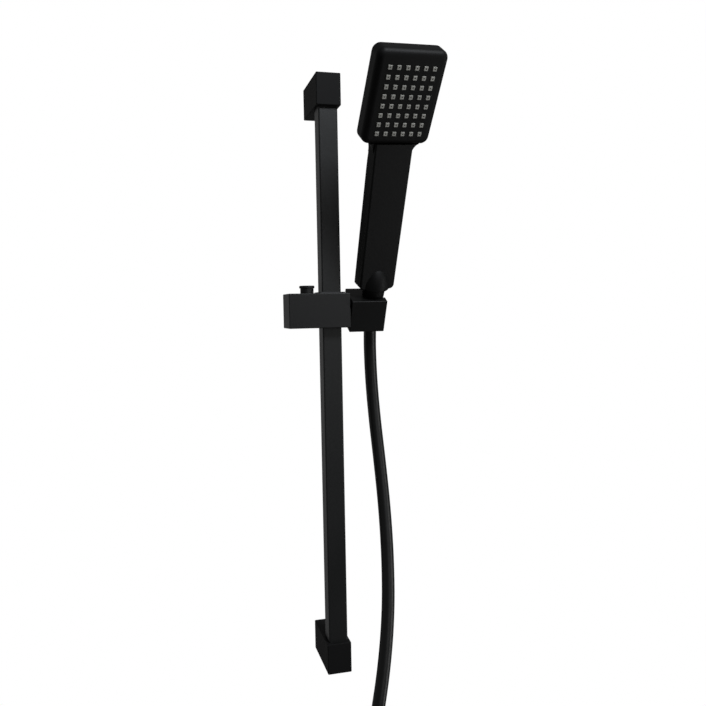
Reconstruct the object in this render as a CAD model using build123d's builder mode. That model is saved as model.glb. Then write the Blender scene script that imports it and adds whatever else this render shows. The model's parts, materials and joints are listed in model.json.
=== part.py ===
from build123d import *
import os
from math import cos, pi, radians, sin, sqrt, tan

# Hand shower on a riser rail: rail and brackets, slider with press button, tilting holder, hand shower and hose.
# Millimetres. X is right, Y goes into the wall and Z is up. The origin is on the wall, midway between the screw holes.

# Rail and brackets
overall_height = 652.0
rail_size = 21.0
rail_wall = 1.5
rail_corner = 1.5
rail_depth = 54.0
bracket_width = 26.8
bracket_height = 34.0
bracket_depth = 69.0
bracket_edge = 1.0
bracket_wall = 2.2
bracket_floor = 5.0
socket_depth = 22.0
socket_wall = 3.5
socket_gap = 0.1
block_depth = 10.0
block_gap = 0.2
wall_hole_radius = 2.75
wall_head_radius = 5.2
wall_head_depth = 4.0
plug_length = 18.0
plug_bore_radius = 4.5
rail_screw_radius = 2.0
rail_screw_grip = 6.0
rail_screw_head = 2.4
rail_screw_head_radius = 3.8
screw_hole_gap = 0.3
grub_radius = 2.0
grub_recess = 0.7
hex_key = 2.0

# Slider and brake
slider_z = 75.0
slider_left = 48.6
slider_right = 18.0
slider_height = 37.0
slider_front_wall = 11.0
slider_back_wall = 6.0
slider_edge = 0.8
end_cap_thickness = 2.0
end_cap_lip = 3.0
end_cap_lip_wall = 1.6
end_cap_gap = 0.15
bush_wall = 1.6
bush_gap = 0.15
bush_fit = 0.05
bush_flange = 1.5
bush_flange_reach = 2.0
pocket_side_wall = 6.0
pocket_floor = 5.0
pocket_end_wall = 3.2
button_x = -25.5
button_radius = 7.2
button_height = 8.6
button_lip = 2.6
button_lip_reach = 1.0
button_travel = 4.0
button_edge = 0.8
button_gap = 0.1
button_flange = 1.5
button_flange_reach = 1.2
stem_width = 8.0
stem_right = 4.0
stem_left = 6.5
stem_clear_below = 10.0
brake_travel = 1.5
shoe_gap = 0.2
shoe_back = 8.0
wedge_gap = 0.1
pad_width = 12.0
pad_height = 14.0
pad_thickness = 2.4
pad_gap = 0.05
window_gap = 0.4
spring_wire = 0.9
spring_turns = 3
spring_slack = 0.15
button_spring_radius = 1.9
brake_spring_radius = 3.4

# Holder and pivot
bore_x = 46.3
holder_tilt = 26.5
holder_left_gap = 1.1
holder_right = 12.0
holder_depth = 34.0
holder_height = 36.8
holder_edge = 0.8
hose_slot = 15.0
seat_gap = 0.1
bore_flare = 2.4
bore_overrun = 1.0
pivot_radius = 5.0
pivot_gap = 0.05
pivot_socket = 5.0
pivot_flange_radius = 7.5
pivot_flange = 1.8
pivot_flange_gap = 0.2
pivot_screw_radius = 2.0
pivot_screw_length = 18.0
pivot_screw_relief = 1.0
pivot_screw_head_radius = 4.0
washer_radius = 11.0

# Hose end and conical nut
hose_diameter = 14.0
hose_bore = 8.0
nut_top_radius = 12.4
nut_bottom_radius = 9.5
nut_length = 39.5
thread_radius = 10.48
thread_gap = 0.1
spigot_thread = 11.0
seal_gap = 0.05
ferrule_flange = 2.0
ferrule_wall = 0.75
ferrule_depth = 13.0
swivel_washer_thickness = 1.0
hose_washer_thickness = 2.2
hose_hinge_drop = 1.5

# Hand shower, which rests turned a little in its holder
handset_turn = 8.0
handle_start = 28.0
handle_length = 162.0
handle_bottom_width = 39.8
handle_top_width = 41.0
handle_front = 8.5
handle_back = 12.5
handle_front_corner = 1.8
handle_back_corner = 5.0
handle_end_edge = 1.5
handle_joint_gap = 0.3
boss_radius = 16.3
boss_length = 22.5
boss_blend = 0.5
spigot_length = 14.0
spigot_bore = 5.0
restrictor_radius = 7.0
restrictor_thickness = 3.0
restrictor_hole = 2.0
tube_radius = 6.0
tube_wall = 1.5
tube_seat = 5.0
port_shoulder = 6.0
head_angle = 11.7
head_up = 226.2
head_forward = 18.7
head_width = 72.0
head_height = 91.5
head_corner = 8.0
head_thickness = 20.0
head_wall = 2.0
head_back_edge = 4.0
neck_drop = 14.0
neck_inset = 0.12
neck_blend = 19.0
plate_thickness = 6.5
plate_face = 2.0
plate_edge = 6.0
plate_gap = 0.1
ledge_width = 2.0
ledge_depth = 2.0
nozzle_columns = 6
nozzle_rows = 8
nozzle_side_margin = 13.25
nozzle_top_margin = 15.95
nozzle_foot_margin = 11.85
nozzle_width = 4.5
nozzle_draft = 8.0
nozzle_proud = 0.9
nozzle_gap = 0.12
nozzle_orifice = 1.4
mat_thickness = 1.0
mat_margin = 0.6
distributor_thickness = 1.5
distributor_gap = 0.3
distributor_hole = 2.5
seal_width = 1.5
seal_thickness = 1.2
plate_screw_radius = 1.1
plate_screw_inset = 5.0
plate_screw_head = 1.3
plate_screw_head_radius = 2.1
plate_boss_radius = 2.2

# Hose: chosen points of the free stretch, from the nut's mouth down to the coil
hose_route = [
    (47.6, -45.6, 53.0),
    (49.2, -38.2, 32.0),
    (51.2, -35.5, -8.0),
    (53.2, -40.5, -52.0),
    (54.9, -51.5, -97.0),
    (55.3, -66.0, -146.0),
    (52.9, -83.0, -198.0),
    (47.1, -101.0, -250.0),
    (35.6, -120.0, -301.0),
    (21.5, -136.0, -346.0),
]
bend_share = 0.45
coil_entry = (11.0, -146.0, -424.0)
coil_lead = 36.0
coil_turns = 2
coil_radius = 74.0
coil_gap = 1.2
coil_tail = 46.0
coil_steps = 400
tie_width = 12.0
tie_thickness = 1.6
tie_gap = 0.4
inlet_sleeve_length = 16.0
inlet_sleeve_wall = 1.2
inlet_disc = 2.0
inlet_tail = 12.0
inlet_tail_radius = 6.4
inlet_flange = 2.5
inlet_nut_radius = 13.0
inlet_nut_floor = 3.0
inlet_thread_radius = 9.4
inlet_thread_length = 8.0
inlet_relief = 0.4
inlet_washer_thickness = 2.0
inlet_gap = 0.3

os.makedirs("parts", exist_ok=True)


def save(node, name):
    """Label a finished piece and write it as its own file."""
    node.label = name
    export_step(node, f"parts/{name}.step")


# Places that several pieces share
bracket_z = overall_height / 2 - bracket_height / 2
socket_mouth = bracket_z - bracket_height / 2
rail_half = socket_mouth + socket_depth
rail_screw_z = socket_mouth + socket_depth / 2
cavity_depth = rail_depth - rail_size / 2 - socket_wall
cavity_width = bracket_width - 2 * bracket_wall
cavity_height = bracket_height - bracket_wall - bracket_floor
cavity_lift = (bracket_floor - bracket_wall) / 2
slider_front = rail_depth + rail_size / 2 + slider_front_wall
slider_back = rail_depth - rail_size / 2 - slider_back_wall
slider_y = -(slider_front + slider_back) / 2
slider_depth = slider_front - slider_back
slider_top = slider_z + slider_height / 2
slider_floor = slider_z - slider_height / 2
upright = Vector(0, 0, 1)


# Rail: the tube, and what holds it at each end
def make_bracket(end):
    """One bracket: end is 1 for the upper, whose socket opens downwards, and -1 for the lower."""
    with BuildPart() as bracket:
        with Locations((0, -bracket_depth / 2, end * bracket_z)):
            Box(bracket_width, bracket_depth, bracket_height)
        fillet(bracket.edges().filter_by(lambda edge: edge.center().Y < -bracket_edge), bracket_edge)
        with Locations((0, -cavity_depth / 2, end * bracket_z + cavity_lift)):
            Box(cavity_width, cavity_depth, cavity_height, mode=Mode.SUBTRACT)
        with BuildSketch(Plane.XY.offset(end * socket_mouth)):
            with Locations((0, -rail_depth)):
                RectangleRounded(rail_size + 2 * socket_gap, rail_size + 2 * socket_gap, rail_corner + socket_gap)
        extrude(amount=end * socket_depth, mode=Mode.SUBTRACT)
        with BuildSketch(Plane.XZ.offset(cavity_depth)):
            with Locations((0, end * rail_screw_z)):
                Circle(rail_screw_radius + screw_hole_gap)
        extrude(amount=socket_wall, mode=Mode.SUBTRACT)
        with BuildSketch(Plane.XY.offset(end * bracket_z - bracket_height / 2)):
            with Locations((0, -block_depth / 2)):
                Circle(grub_radius)
        extrude(amount=bracket_floor, mode=Mode.SUBTRACT)
    return bracket.part


def make_wall_block(end):
    """Metal block inside one bracket, with the counterbored hole for the wall screw."""
    with BuildPart() as block:
        with Locations((0, -block_depth / 2, end * bracket_z + cavity_lift)):
            Box(cavity_width - 2 * block_gap, block_depth, cavity_height - 2 * block_gap)
        with Locations(Plane(origin=(0, -block_depth, end * bracket_z), z_dir=(0, -1, 0))):
            CounterBoreHole(wall_hole_radius, wall_head_radius, wall_head_depth)
    return block.part


def make_rail_plug(end):
    """Insert in one end of the tube, with the hole that the rail screw bites into."""
    plug_size = rail_size - 2 * rail_wall - 2 * socket_gap
    with BuildPart() as plug:
        with BuildSketch(Plane.XY.offset(end * rail_half)):
            with Locations((0, -rail_depth)):
                RectangleRounded(plug_size, plug_size, rail_corner / 2)
                Circle(plug_bore_radius, mode=Mode.SUBTRACT)
        extrude(amount=-end * plug_length)
        with BuildSketch(Plane.XZ.offset(rail_depth)):
            with Locations((0, end * rail_screw_z)):
                Circle(rail_screw_radius)
        extrude(amount=-rail_size / 2, mode=Mode.SUBTRACT)
    return plug.part


save(make_bracket(1), "upper_bracket")
save(make_bracket(-1), "lower_bracket")
save(make_wall_block(1), "upper_wall_block")
save(make_wall_block(-1), "lower_wall_block")
save(make_rail_plug(1), "upper_rail_plug")
save(make_rail_plug(-1), "lower_rail_plug")

with BuildPart() as rail_tube:
    with BuildSketch(Plane.XY.offset(-rail_half)):
        with Locations((0, -rail_depth)):
            RectangleRounded(rail_size, rail_size, rail_corner)
            RectangleRounded(rail_size - 2 * rail_wall, rail_size - 2 * rail_wall, rail_corner / 2, mode=Mode.SUBTRACT)
    extrude(amount=2 * rail_half)
    with BuildSketch(Plane.XZ.offset(rail_depth)):
        with Locations((0, rail_screw_z), (0, -rail_screw_z)):
            Circle(rail_screw_radius + screw_hole_gap)
    extrude(amount=-rail_size / 2, mode=Mode.SUBTRACT)
save(rail_tube.part, "rail_tube")

with BuildPart() as rail_screws:
    screw_places = [(0, rail_screw_z), (0, -rail_screw_z)]
    with BuildSketch(Plane.XZ.offset(cavity_depth - rail_screw_head)):
        with Locations(*screw_places):
            Circle(rail_screw_head_radius)
    extrude(amount=rail_screw_head)
    with BuildSketch(Plane.XZ.offset(cavity_depth)):
        with Locations(*screw_places):
            Circle(rail_screw_radius)
    extrude(amount=socket_wall + rail_screw_grip)
save(rail_screws.part, "rail_screws")

with BuildPart() as grub_screws:
    for end in (1, -1):
        grub_bottom = end * bracket_z - bracket_height / 2 + grub_recess
        with BuildSketch(Plane.XY.offset(grub_bottom)):
            with Locations((0, -block_depth / 2)):
                Circle(grub_radius)
        extrude(amount=bracket_floor + block_gap - grub_recess)
        with BuildSketch(Plane.XY.offset(grub_bottom)):
            with Locations((0, -block_depth / 2)):
                RegularPolygon(hex_key / 2, 6, major_radius=False)
        extrude(amount=hex_key, mode=Mode.SUBTRACT)
save(grub_screws.part, "bracket_grub_screws")

# Slider: body round the rail, bush, end cap, and the button that draws the brake shoe off the rail
bush_size = rail_size + 2 * (bush_gap + bush_wall)
passage_size = bush_size + 2 * bush_fit
pocket_left = -slider_left + end_cap_thickness
pocket_right = -passage_size / 2 - pocket_end_wall
pocket_length = pocket_right - pocket_left
pocket_x = (pocket_left + pocket_right) / 2
pocket_depth = slider_depth - 2 * pocket_side_wall
pocket_height = slider_height - 2 * pocket_floor
pocket_top = slider_z + pocket_height / 2
pocket_bottom = slider_z - pocket_height / 2
flange_recess = pivot_flange + pivot_flange_gap
body_length = slider_right - pocket_left

with BuildPart() as slider_body:
    with Locations((pocket_left + body_length / 2, slider_y, slider_z)):
        Box(body_length, slider_depth, slider_height)
    fillet(slider_body.edges().filter_by(lambda edge: edge.center().X > pocket_left + slider_edge), slider_edge)
    with Locations((pocket_x, slider_y, slider_z)):
        Box(pocket_length, pocket_depth, pocket_height, mode=Mode.SUBTRACT)
    with BuildSketch(Plane.XY.offset(slider_floor)):
        with Locations((0, -rail_depth)):
            Rectangle(passage_size, passage_size)
    extrude(amount=slider_height, mode=Mode.SUBTRACT)
    with BuildSketch(Plane.YZ.offset(pocket_right)):
        with Locations((slider_y, slider_z)):
            Rectangle(pad_width + 2 * window_gap, pad_height + 2 * window_gap)
    extrude(amount=pocket_end_wall, mode=Mode.SUBTRACT)
    with BuildSketch(Plane.XY.offset(pocket_top)):
        with Locations((button_x, slider_y)):
            Circle(button_radius + button_gap)
    extrude(amount=pocket_floor, mode=Mode.SUBTRACT)
    with BuildSketch(Plane.YZ.offset(passage_size / 2)):
        with Locations((slider_y, slider_z)):
            Circle(pivot_flange_radius + pivot_flange_gap)
    extrude(amount=flange_recess, mode=Mode.SUBTRACT)
    with BuildSketch(Plane.YZ.offset(passage_size / 2)):
        with Locations((slider_y, slider_z)):
            Circle(pivot_radius + pivot_gap)
    extrude(amount=slider_right - passage_size / 2, mode=Mode.SUBTRACT)
save(slider_body.part, "slider_body")

lip_depth = pocket_depth - 2 * end_cap_gap
lip_height = pocket_height - 2 * end_cap_gap
with BuildPart() as slider_end_cap:
    with Locations((pocket_left - end_cap_thickness / 2, slider_y, slider_z)):
        Box(end_cap_thickness, slider_depth, slider_height)
    fillet(slider_end_cap.edges().filter_by(lambda edge: edge.center().X < pocket_left - slider_edge), slider_edge)
    with BuildSketch(Plane.YZ.offset(pocket_left)):
        with Locations((slider_y, slider_z)):
            Rectangle(lip_depth, lip_height)
            Rectangle(lip_depth - 2 * end_cap_lip_wall, lip_height - 2 * end_cap_lip_wall, mode=Mode.SUBTRACT)
    extrude(amount=end_cap_lip)
save(slider_end_cap.part, "slider_end_cap")

with BuildPart() as guide_bush:
    with BuildSketch(Plane.XY.offset(slider_floor)):
        with Locations((0, -rail_depth)):
            Rectangle(bush_size, bush_size)
    extrude(amount=slider_height)
    with BuildSketch(Plane.XY.offset(slider_top)):
        with Locations((0, -rail_depth)):
            RectangleRounded(bush_size + 2 * bush_flange_reach, bush_size + 2 * bush_flange_reach, bush_flange_reach)
    extrude(amount=bush_flange)
    with BuildSketch(Plane.XY.offset(slider_floor)):
        with Locations((0, -rail_depth)):
            RectangleRounded(rail_size + 2 * bush_gap, rail_size + 2 * bush_gap, rail_corner + bush_gap)
    extrude(amount=slider_height + bush_flange, mode=Mode.SUBTRACT)
    with BuildSketch(Plane.YZ.offset(-bush_size / 2)):
        with Locations((slider_y, slider_z)):
            Rectangle(pad_width + 2 * window_gap, pad_height + 2 * window_gap)
    extrude(amount=bush_size / 2, mode=Mode.SUBTRACT)
save(guide_bush.part, "guide_bush")

# The wedge: the stem's left side slopes so that the full press moves the shoe by the brake's travel
wedge_slope = brake_travel / button_travel
flange_top = pocket_top - button_gap
stem_top = flange_top - button_flange
stem_foot = pocket_bottom + stem_clear_below
button_top = slider_top + button_height


def wedge_x(z):
    """Left side of the stem at a height."""
    return button_x - stem_left + wedge_slope * (stem_top - z)


with BuildPart() as release_button:
    with BuildSketch(Plane.XY.offset(flange_top)):
        with Locations((button_x, slider_y)):
            Circle(button_radius)
    extrude(amount=button_top - flange_top)
    with BuildSketch(Plane.XY.offset(button_top - button_lip)):
        with Locations((button_x, slider_y)):
            Circle(button_radius + button_lip_reach)
    extrude(amount=button_lip)
    fillet(release_button.edges().filter_by(GeomType.CIRCLE).sort_by(Axis.Z)[-1], button_edge)
    with BuildSketch(Plane.XY.offset(stem_top)):
        with Locations((button_x, slider_y)):
            Circle(button_radius + button_flange_reach)
    extrude(amount=button_flange)
    with BuildSketch(Plane.XZ.offset(-slider_y)):
        Polygon(
            (button_x + stem_right, stem_top),
            (wedge_x(stem_top), stem_top),
            (wedge_x(stem_foot), stem_foot),
            (button_x + stem_right, stem_foot),
            align=None,
        )
    extrude(amount=stem_width / 2, both=True)
save(release_button.part, "release_button")

# The shoe slides in the pocket; its slot takes the stem, with a slope to match the wedge
shoe_right = pocket_right - shoe_gap
shoe_left = pocket_left + shoe_back
shoe_length = shoe_right - shoe_left
shoe_top = stem_top - button_travel - shoe_gap
shoe_bottom = pocket_bottom + shoe_gap
shoe_height = shoe_top - shoe_bottom
slot_right = button_x + stem_right + brake_travel + window_gap
slope_foot = stem_foot + button_travel
pad_face = -rail_size / 2 - pad_gap
nose_end = pad_face - pad_thickness

with BuildPart() as brake_shoe:
    with Locations(((shoe_left + shoe_right) / 2, slider_y, (shoe_top + shoe_bottom) / 2)):
        Box(shoe_length, pocket_depth - 2 * shoe_gap, shoe_height)
    with BuildSketch(Plane.YZ.offset(shoe_right)):
        with Locations((slider_y, slider_z)):
            Rectangle(pad_width, pad_height)
    extrude(amount=nose_end - shoe_right)
    with BuildSketch(Plane.XZ.offset(-slider_y)):
        Polygon(
            (slot_right, stem_top),
            (wedge_x(stem_top) - wedge_gap, stem_top),
            (wedge_x(slope_foot) - wedge_gap, slope_foot),
            (wedge_x(slope_foot) - wedge_gap, pocket_bottom),
            (slot_right, pocket_bottom),
            align=None,
        )
    extrude(amount=stem_width / 2 + shoe_gap, both=True, mode=Mode.SUBTRACT)
save(brake_shoe.part, "brake_shoe")

with BuildPart() as brake_pad:
    with BuildSketch(Plane.YZ.offset(nose_end)):
        with Locations((slider_y, slider_z)):
            Rectangle(pad_width, pad_height)
    extrude(amount=pad_thickness)
save(brake_pad.part, "brake_pad")


# Windings: a helix drawn as biarcs of half a turn, straight at both ends
def helix_point(centre, radius, pitch, axis, start, angle):
    """Point and direction on a helix about an axis, from a start direction square to it."""
    side = axis.cross(start)
    rise = pitch * angle / (2 * pi)
    spot = centre + start * (radius * cos(angle)) + side * (radius * sin(angle)) + axis * rise
    way = side * (radius * cos(angle)) - start * (radius * sin(angle)) + axis * (pitch / (2 * pi))
    return spot, way.normalized()


def biarc_joint(first, first_way, last, last_way):
    """Where the two arcs of a biarc meet."""
    span = last - first
    both = span.dot(first_way + last_way)
    bend = 2 * (1 - first_way.dot(last_way))
    reach = (sqrt(both * both + bend * span.dot(span)) - both) / bend
    return (first + first_way * reach + last - last_way * reach) / 2


def draw_winding(centre, radius, pitch, axis, start, turns):
    """Arcs of a helix with so many turns, inside an open line builder."""
    for half in range(2 * turns):
        first, first_way = helix_point(centre, radius, pitch, axis, start, half * pi)
        last, last_way = helix_point(centre, radius, pitch, axis, start, (half + 1) * pi)
        joint = biarc_joint(first, first_way, last, last_way)
        arc = TangentArc(first, joint, tangent=first_way)
        TangentArc(joint, last, tangent=arc % 1)


def make_spring(centre, axis, start, radius, length):
    """Square-wire spring between two flats, from the flat at its centre point."""
    pitch = (length - spring_wire) / spring_turns
    foot = centre + axis * (spring_wire / 2)
    with BuildPart() as spring:
        with BuildLine() as winding:
            draw_winding(foot, radius, pitch, axis, start, spring_turns)
        path = winding.wire()
        with BuildSketch(Plane(origin=path @ 0, x_dir=axis, z_dir=path % 0)):
            Rectangle(spring_wire, spring_wire)
        sweep(path=path)
    return spring.part


button_spring_x = (wedge_x(stem_foot) + button_x + stem_right) / 2
save(
    make_spring(
        Vector(button_spring_x, slider_y, pocket_bottom + spring_slack),
        upright,
        Vector(1, 0, 0),
        button_spring_radius,
        stem_clear_below - 2 * spring_slack,
    ),
    "button_spring",
)
save(
    make_spring(
        Vector(pocket_left + spring_slack, slider_y, (shoe_top + shoe_bottom) / 2),
        Vector(1, 0, 0),
        Vector(0, 1, 0),
        brake_spring_radius,
        shoe_back - 2 * spring_slack,
    ),
    "brake_spring",
)

# Holder: tilting block on a pin through the slider's right wall
tilt = radians(holder_tilt)
bore_way = Vector(0, -sin(tilt), cos(tilt))
bore_plane = Plane(origin=(bore_x, slider_y, slider_z), x_dir=(1, 0, 0), z_dir=bore_way)
bore_side = Plane(origin=(bore_x, slider_y, slider_z), x_dir=(1, 0, 0), z_dir=-bore_plane.y_dir)
bore_axis = Axis((bore_x, slider_y, slider_z), bore_way)
holder_left = slider_right + holder_left_gap - bore_x
holder_width = holder_right - holder_left
nut_top = handle_start - handle_joint_gap
nut_bottom = nut_top - nut_length
nut_taper = (nut_top_radius - nut_bottom_radius) / nut_length


def nut_radius(station):
    """Outside of the conical nut at a station along the bore."""
    return nut_bottom_radius + nut_taper * (station - nut_bottom)


with BuildPart() as holder_block:
    with BuildSketch(bore_plane.offset(-holder_height / 2)):
        with Locations(((holder_left + holder_right) / 2, 0)):
            Rectangle(holder_width, holder_depth)
    extrude(amount=holder_height)
    fillet(holder_block.edges(), holder_edge)
    with BuildSketch(bore_side):
        bore_top = holder_height / 2 + bore_overrun
        bore_bottom = -holder_height / 2 - bore_overrun
        Polygon(
            (0, bore_top),
            (nut_radius(bore_top) + seat_gap, bore_top),
            (nut_bottom_radius + seat_gap, nut_bottom),
            (nut_bottom_radius + seat_gap + bore_flare, bore_bottom),
            (0, bore_bottom),
            align=None,
        )
    revolve(axis=bore_axis, mode=Mode.SUBTRACT)
    with BuildSketch(bore_plane.offset(bore_bottom)):
        with Locations((holder_right / 2, 0)):
            Rectangle(holder_right, hose_slot)
    extrude(amount=bore_top - bore_bottom, mode=Mode.SUBTRACT)
    with BuildSketch(Plane.YZ.offset(bore_x + holder_left)):
        with Locations((slider_y, slider_z)):
            Circle(pivot_radius)
    extrude(amount=pivot_socket, mode=Mode.SUBTRACT)
    with BuildSketch(Plane.YZ.offset(bore_x + holder_left)):
        with Locations((slider_y, slider_z)):
            Circle(pivot_screw_radius)
    screw_reach = passage_size / 2 + pivot_screw_length - bore_x - holder_left
    extrude(amount=screw_reach + pivot_screw_relief, mode=Mode.SUBTRACT)
save(holder_block.part, "holder_block")

pivot_axis = Axis((0, slider_y, slider_z), (1, 0, 0))
pivot_side = Plane(origin=(0, slider_y, slider_z), x_dir=(1, 0, 0), z_dir=(0, -1, 0))
pin_left = passage_size / 2 + pivot_flange_gap
pin_shoulder = pin_left + pivot_flange
pin_right = bore_x + holder_left + pivot_socket
screw_head_length = pivot_screw_head_radius - pivot_screw_radius

with BuildPart() as pivot_pin:
    with BuildSketch(pivot_side):
        Polygon(
            (pin_left, pivot_screw_head_radius),
            (pin_left, pivot_flange_radius),
            (pin_shoulder, pivot_flange_radius),
            (pin_shoulder, pivot_radius),
            (pin_right, pivot_radius),
            (pin_right, pivot_screw_radius),
            (pin_left + screw_head_length, pivot_screw_radius),
            align=None,
        )
    revolve(axis=pivot_axis)
save(pivot_pin.part, "pivot_pin")

with BuildPart() as pivot_screw:
    with BuildSketch(pivot_side):
        Polygon(
            (pin_left, 0),
            (pin_left, pivot_screw_head_radius),
            (pin_left + screw_head_length, pivot_screw_radius),
            (passage_size / 2 + pivot_screw_length, pivot_screw_radius),
            (passage_size / 2 + pivot_screw_length, 0),
            align=None,
        )
    revolve(axis=pivot_axis)
    with BuildSketch(Plane.YZ.offset(pin_left)):
        with Locations((slider_y, slider_z)):
            RegularPolygon(hex_key / 2, 6, major_radius=False)
    extrude(amount=hex_key, mode=Mode.SUBTRACT)
save(pivot_screw.part, "pivot_screw")

with BuildPart() as friction_washer:
    with BuildSketch(Plane.YZ.offset(slider_right)):
        with Locations((slider_y, slider_z)):
            Circle(washer_radius)
            Circle(pivot_radius, mode=Mode.SUBTRACT)
    extrude(amount=holder_left_gap)
save(friction_washer.part, "friction_washer")

# Hose end: ferrule that turns in the nut, between a nylon washer below and the rubber seal above
hose_radius = hose_diameter / 2
ferrule_radius = hose_radius + ferrule_wall
nut_bore = ferrule_radius + 2 * thread_gap
spigot_end = handle_start - spigot_thread
seal_bottom = spigot_end - hose_washer_thickness
flange_face = seal_bottom - seal_gap
flange_seat = flange_face - ferrule_flange
nut_shoulder = flange_seat - swivel_washer_thickness - seal_gap
flange_radius = thread_radius - 2 * thread_gap

with BuildPart() as hose_ferrule:
    with BuildSketch(bore_side):
        Polygon(
            (hose_bore / 2, flange_face),
            (flange_radius, flange_face),
            (flange_radius, flange_seat),
            (ferrule_radius, flange_seat),
            (ferrule_radius, flange_seat - ferrule_depth),
            (hose_bore / 2, flange_seat - ferrule_depth),
            align=None,
        )
    revolve(axis=bore_axis)
save(hose_ferrule.part, "hose_ferrule")

with BuildPart() as swivel_washer:
    with BuildSketch(bore_plane.offset(flange_seat - swivel_washer_thickness)):
        Circle(flange_radius)
        Circle(ferrule_radius, mode=Mode.SUBTRACT)
    extrude(amount=swivel_washer_thickness)
save(swivel_washer.part, "swivel_washer")

# Hand shower: conical nut, seal, spigot and water way along the handle
with BuildPart() as conical_nut:
    with BuildSketch(bore_side):
        Polygon(
            (thread_radius + thread_gap, nut_top),
            (nut_top_radius, nut_top),
            (nut_bottom_radius, nut_bottom),
            (nut_bore, nut_bottom),
            (nut_bore, nut_shoulder),
            (thread_radius + thread_gap, nut_shoulder),
            align=None,
        )
    revolve(axis=bore_axis)
save(conical_nut.part, "conical_nut")

with BuildPart() as hose_washer:
    with BuildSketch(bore_plane.offset(seal_bottom)):
        Circle(flange_radius)
        Circle(spigot_bore, mode=Mode.SUBTRACT)
    extrude(amount=hose_washer_thickness)
save(hose_washer.part, "hose_washer")

# The handle's frame is the bore's, turned; the head leans forward from it, with depths behind its face
turn = radians(handset_turn)
grip_plane = Plane(
    origin=bore_plane.origin,
    x_dir=bore_plane.x_dir * cos(turn) + bore_plane.y_dir * sin(turn),
    z_dir=bore_way,
)
grip_front = Plane(origin=grip_plane.origin, x_dir=grip_plane.x_dir, z_dir=-grip_plane.y_dir)
grip_side = Plane(origin=grip_plane.origin, x_dir=grip_plane.y_dir, z_dir=grip_plane.x_dir)
lean = radians(head_angle)
face_plane = Plane(
    origin=grip_plane.from_local_coords((0, -head_forward, head_up)),
    x_dir=grip_plane.x_dir,
    z_dir=-grip_plane.y_dir * cos(lean) - bore_way * sin(lean),
)
head_rise = (nozzle_top_margin - nozzle_foot_margin) / 2
shell_depth = head_thickness - plate_thickness
inner_width = head_width - 2 * head_wall
inner_height = head_height - 2 * head_wall
inner_corner = head_corner - head_wall
chamber_width = inner_width - 2 * ledge_width
chamber_height = inner_height - 2 * ledge_width
chamber_corner = inner_corner - ledge_width
head_foot = head_rise - head_height / 2


def behind(depth):
    """Plane so far behind the spray face."""
    return face_plane.offset(-depth)


def on_side(across, depth):
    """Point of the handle's middle plane at a height on the head and a depth behind its face, as (front, station)."""
    spot = grip_plane.to_local_coords(face_plane.from_local_coords((0, across, -depth)))
    return spot.Y, spot.Z


# Side view of the handle: straight in front, and behind an arc that runs into the back of the head
back_y, back_station = on_side(0, head_thickness)
meet = (back_y - handle_back) / sin(lean)
meet_station = back_station + meet * cos(lean)
blend_start = meet_station - neck_blend
blend_end = on_side(meet + neck_blend, head_thickness)
front_drop = (head_forward - handle_front - plate_thickness * cos(lean)) / sin(lean)
front_end = on_side(-front_drop, plate_thickness)[1]

with BuildPart() as handle:
    with BuildSketch(grip_side):
        with BuildLine():
            Polyline((handle_back, blend_start), (handle_back, handle_start), (-handle_front, handle_start))
            Polyline((-handle_front, handle_start), (-handle_front, front_end), blend_end)
            TangentArc((handle_back, blend_start), blend_end, tangent=(0, 1))
        make_face()
    extrude(amount=handle_top_width, both=True)
    with BuildSketch(grip_front):
        widening = (handle_top_width - handle_bottom_width) / 2 / handle_length
        tip = handle_top_width / 2 + widening * (head_up - handle_start - handle_length)
        Polygon(
            (-handle_bottom_width / 2, handle_start),
            (handle_bottom_width / 2, handle_start),
            (tip, head_up),
            (-tip, head_up),
            align=None,
        )
    extrude(amount=handle_front + handle_back, both=True, mode=Mode.INTERSECT)
    sides = [(edge, grip_plane.to_local_coords(edge.center())) for edge in handle.edges()]
    fillet([edge for edge, spot in sides if spot.Y > 0 and abs(spot.X) > handle_back_corner], handle_back_corner)
    sides = [(edge, grip_plane.to_local_coords(edge.center())) for edge in handle.edges()]
    front_side = handle_front_corner - handle_front
    fillet(
        [edge for edge, spot in sides if spot.Y < front_side and abs(spot.X) > handle_back_corner],
        handle_front_corner,
    )
    sides = [(edge, grip_plane.to_local_coords(edge.center())) for edge in handle.edges()]
    fillet([edge for edge, spot in sides if abs(spot.Z - handle_start) < handle_end_edge / 2], handle_end_edge)

# Webs curve from the handle's sides out to where the head's round corners start
neck_side = handle_top_width / 2 - neck_inset
shoulder = head_width / 2 - head_corner
front_depth = (head_forward - handle_front + head_foot * sin(lean)) / cos(lean)
web_depth = front_depth + handle_front_corner
with BuildPart() as head_back:
    with BuildSketch(behind(plate_thickness)):
        with Locations((0, head_rise)):
            RectangleRounded(head_width, head_height, head_corner)
    extrude(amount=-shell_depth)
    rim = [
        edge
        for edge in head_back.edges()
        if abs(face_plane.to_local_coords(edge.center()).Z + head_thickness) < head_wall / 2
    ]
    fillet(rim, head_back_edge)
    with BuildSketch(behind(web_depth)):
        with Locations((0, head_foot)):
            Rectangle(2 * neck_side, 2 * neck_drop)
        for side, arc_start in ((1, 90), (-1, 0)):
            with BuildLine():
                EllipticalCenterArc(
                    (side * shoulder, head_foot - neck_drop),
                    shoulder - neck_side,
                    neck_drop,
                    start_angle=arc_start,
                    arc_size=90,
                )
                Polyline(
                    (side * shoulder, head_foot),
                    (side * shoulder, head_foot + head_wall),
                    (side * neck_side, head_foot + head_wall),
                    (side * neck_side, head_foot - neck_drop),
                )
            make_face()
    extrude(amount=web_depth + head_back_edge - head_thickness)

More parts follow.
